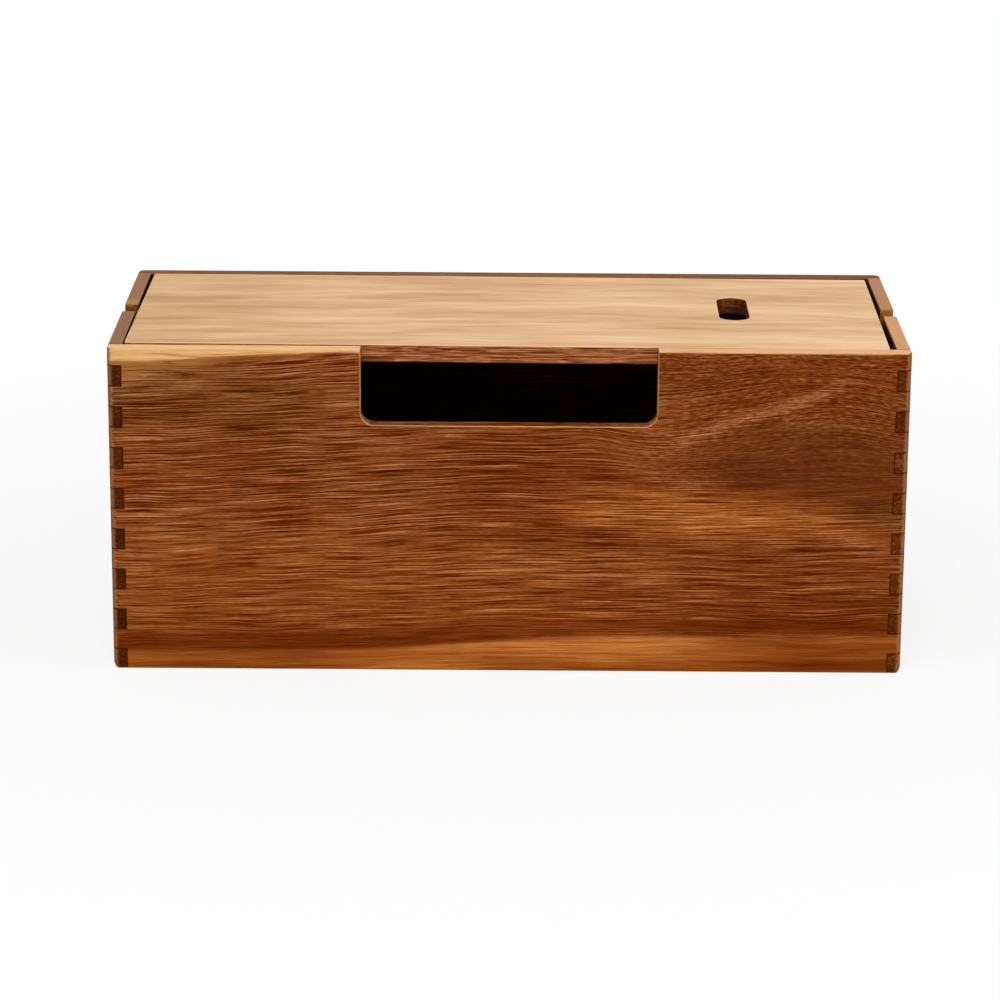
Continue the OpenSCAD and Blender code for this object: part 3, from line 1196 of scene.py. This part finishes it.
lid_l = INNER_L - LID_PLAY_L
lid_w = INNER_W - LID_PLAY_W
lid_turn = -LID_SKEW * math.asin(LID_PLAY_W / lid_l)
lid_shift = LID_LEFT * (LID_PLAY_L / 2 + lid_w / 2 * math.sin(lid_turn))
plan = eased_rectangle(-lid_l / 2, lid_l / 2, -lid_w / 2, lid_w / 2, LID_CORNER_R, LID_CORNER_R)
lid = prism("lid", "Z", plan, lid_low.z, lid_high.z)
slot_x, slot_y = SLOT_AT
slot_r = SLOT_W / 2
slot_half = SLOT_LEN / 2
slot = eased_rectangle(
    slot_x - slot_r, slot_x + slot_r, slot_y - slot_half, slot_y + slot_half, slot_r, slot_r
)
carve(lid, prism("slot", "Z", slot, lid_low.z - SPARE, lid_high.z + SPARE))
clean(lid)


def lid_edge(a, b):
    return near(a.z, b.z)


print("lid edges eased:", ease(lid, lid_edge, LID_ARRIS))
lid.data.transform(Matrix.Rotation(lid_turn, 4, "Z"))
lid.data.transform(Matrix.Translation((-lid_shift, 0.0, 0.0)))
hand_over(lid, "lid", lid_material, body="lid")

# %% [markdown]
# ## Floor, light and camera
#
# The box stands on white paper. To the camera, to reflections and through glass the paper far
# from the box is plain white, and near the box part of it stays real paper, so the soft shadow
# is kept. To all other light it is ordinary paper that throws a little light up on the walls.


# %% Paper floor and white world
PAPER_GREY = 0.88
WHITE_SHARE = 0.82
WHITE_FROM, WHITE_TO = 0.2, 0.6
FLOOR_HALF = 6.0
AMBIENT = 0.45
WHITE = (1.0, 1.0, 1.0, 1.0)


def ray_mask(tree):
    """1 for what the camera sees, directly, mirrored or through glass."""
    rays = node(tree, "ShaderNodeLightPath")
    kinds = ("Is Camera Ray", "Is Glossy Ray", "Is Transmission Ray")
    camera, glossy, through = (Flow(tree, rays.outputs[kind]) for kind in kinds)
    return (camera + glossy + through).clamp()


def paper():
    material = bpy.data.materials.new("paper")
    material.use_nodes = True
    tree = material.node_tree
    tree.nodes.clear()
    where = node(tree, "ShaderNodeTexCoord")
    x, y, _ = separate(Flow(tree, where.outputs["Object"]))
    distance = (x * x + y * y).math("SQRT")
    far = distance.smooth(WHITE_FROM, WHITE_TO)
    share = ray_mask(tree) * (WHITE_SHARE + far * (1.0 - WHITE_SHARE))
    grey = (PAPER_GREY, PAPER_GREY, PAPER_GREY, 1.0)
    real = node(tree, "ShaderNodeBsdfDiffuse", None, {"Color": grey})
    white = node(tree, "ShaderNodeEmission", None, {"Color": WHITE})
    both = node(
        tree,
        "ShaderNodeMixShader",
        None,
        {0: share, 1: Flow(tree, real.outputs[0]), 2: Flow(tree, white.outputs[0])},
    )
    node(tree, "ShaderNodeOutputMaterial", None, {0: Flow(tree, both.outputs[0])})
    return material


square = [(-1, -1), (1, -1), (1, 1), (-1, 1)]
floor_mesh = bpy.data.meshes.new("paper_floor")
floor_mesh.from_pydata(
    [(x * FLOOR_HALF, y * FLOOR_HALF, 0.0) for x, y in square], [], [(0, 1, 2, 3)]
)
floor_mesh.materials.append(paper())
new_object("paper_floor", floor_mesh)

world = bpy.data.worlds.new("white room")
bpy.context.scene.world = world
world.use_nodes = True
tree = world.node_tree
tree.nodes.clear()
shown = node(tree, "ShaderNodeBackground", None, {"Color": WHITE})
soft = node(tree, "ShaderNodeBackground", None, {"Color": WHITE, "Strength": AMBIENT})
both = node(
    tree,
    "ShaderNodeMixShader",
    None,
    {0: ray_mask(tree), 1: Flow(tree, soft.outputs[0]), 2: Flow(tree, shown.outputs[0])},
)
node(tree, "ShaderNodeOutputWorld", None, {0: Flow(tree, both.outputs[0])})


# %% [markdown]
# Two large soft lamps are enough: one high in front that lights the front and the lid alike,
# and one low on the right that catches the rounded uprights and the wall of the slot.


# %% Lamps
def soft_lamp(name, place, target, size, watts):
    """A square lamp at a place, turned to a target; sizes in metres."""
    light = bpy.data.lights.new(name, "AREA")
    light.shape = "SQUARE"
    light.size = size
    light.energy = watts
    lamp = bpy.data.objects.new(name, light)
    bpy.context.scene.collection.objects.link(lamp)
    lamp.location = place
    lamp.rotation_mode = "QUATERNION"
    lamp.rotation_quaternion = (Vector(target) - Vector(place)).to_track_quat("-Z", "Y")
    print(f"{name}: {size} m wide, {watts} W")


BOX_MIDDLE = (0.0, 0.0, 0.06)
soft_lamp("front_lamp", (-0.25, -1.05, 1.85), BOX_MIDDLE, size=1.4, watts=26.0)
soft_lamp("right_lamp", (1.6, -0.5, 0.7), BOX_MIDDLE, size=0.9, watts=7.0)

# %% [markdown]
# The camera stands 1.4 m in front of the box and looks down at it by 16 degrees, a little
# rolled, with a long lens, so the sides of the box stay almost upright.

# %% Camera
CAMERA_AT = (-0.0039, -1.4438, 0.4754)
YAW = math.radians(0.028)
PITCH = math.radians(16.405)
ROLL = math.radians(0.405)
LENS_MM = 132.9
SENSOR_MM = 36.0

camera = bpy.data.objects.new("camera", bpy.data.cameras.new("camera"))
bpy.context.scene.collection.objects.link(camera)
camera.data.lens = LENS_MM
camera.data.sensor_width = SENSOR_MM
camera.matrix_world = (
    Matrix.Translation(CAMERA_AT)
    @ Matrix.Rotation(-YAW, 4, "Z")
    @ Matrix.Rotation(math.pi / 2 - PITCH, 4, "X")
    @ Matrix.Rotation(ROLL, 4, "Z")
)
bpy.context.scene.camera = camera
bpy.context.scene.view_settings.view_transform = "Standard"
